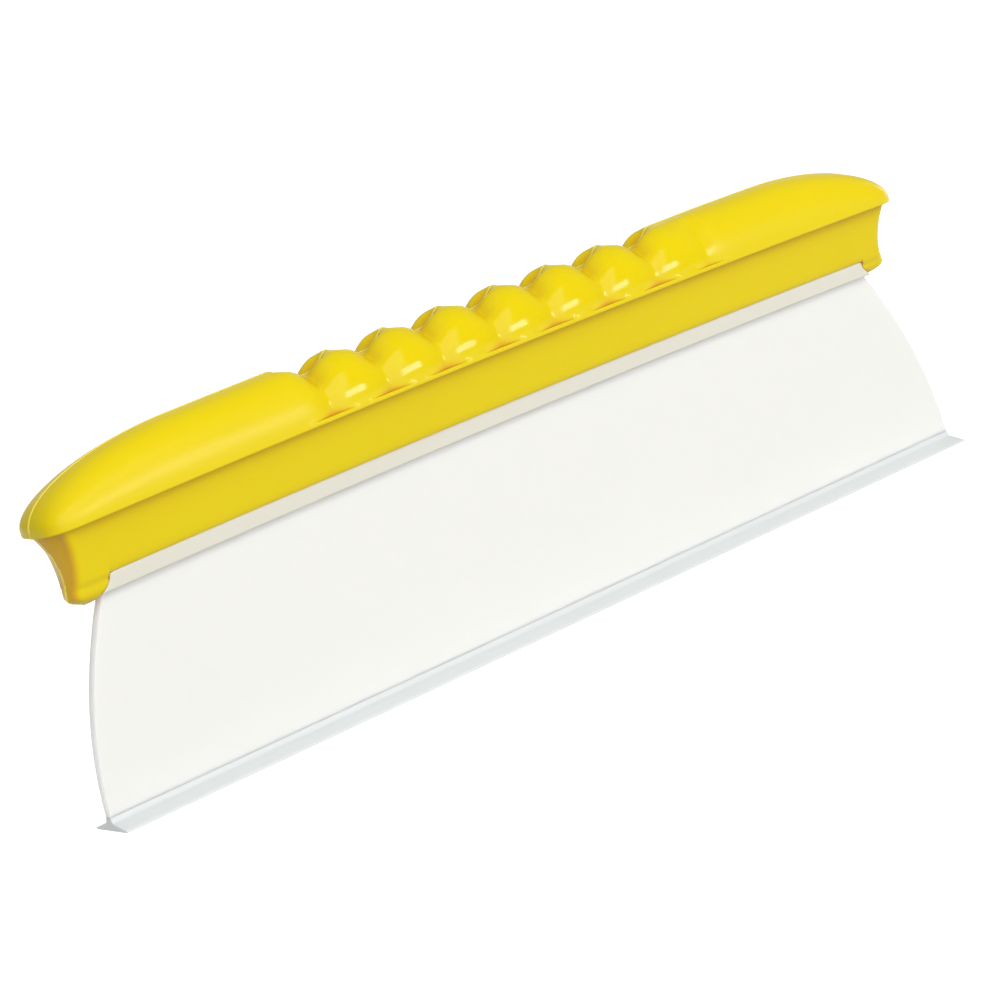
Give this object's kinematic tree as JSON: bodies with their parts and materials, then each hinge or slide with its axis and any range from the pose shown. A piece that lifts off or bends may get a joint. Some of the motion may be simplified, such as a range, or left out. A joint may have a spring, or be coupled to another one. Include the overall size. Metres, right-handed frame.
{
  "type": "squeegee applicator",
  "caption": "Hand squeegee: hollow two-shell plastic handle with finger grooves over a tapering stem, holding a flexible silicone blade with a T-shaped edge.",
  "frame": {"origin": "centre of the edge bar's flat working face, straight below the middle of the handle", "axes": "X along the handle, Y from the front (-Y, the side the picture shows) to the rear, +Z from the working edge up to the handle's top"},
  "size_m": [0.312, 0.0232, 0.0967],
  "materials": {
    "shell_plastic": "glossy moulded plastic, bright yellow",
    "silicone": "smooth translucent white silicone"
  },
  "bodies": {
    "handle": {"front_shell": "shell_plastic", "rear_shell": "shell_plastic", "blade_bead": "silicone"},
    "blade": {"blade_sheet": "silicone"},
    "edge": {"edge_bar": "silicone"}
  },
  "joints": [
    {"name": "blade_bend", "type": "hinge", "parent": "handle", "child": "blade", "pos_m": [0, 0, 0.0565], "axis": [1, 0, 0], "range_deg": [-40, 40], "stiffness_Nm_per_rad": 0.12},
    {"name": "edge_rock", "type": "hinge", "parent": "blade", "child": "edge", "pos_m": [0, 0, 0.0036], "axis": [1, 0, 0], "range_deg": [-25, 25], "stiffness_Nm_per_rad": 0.09}
  ]
}
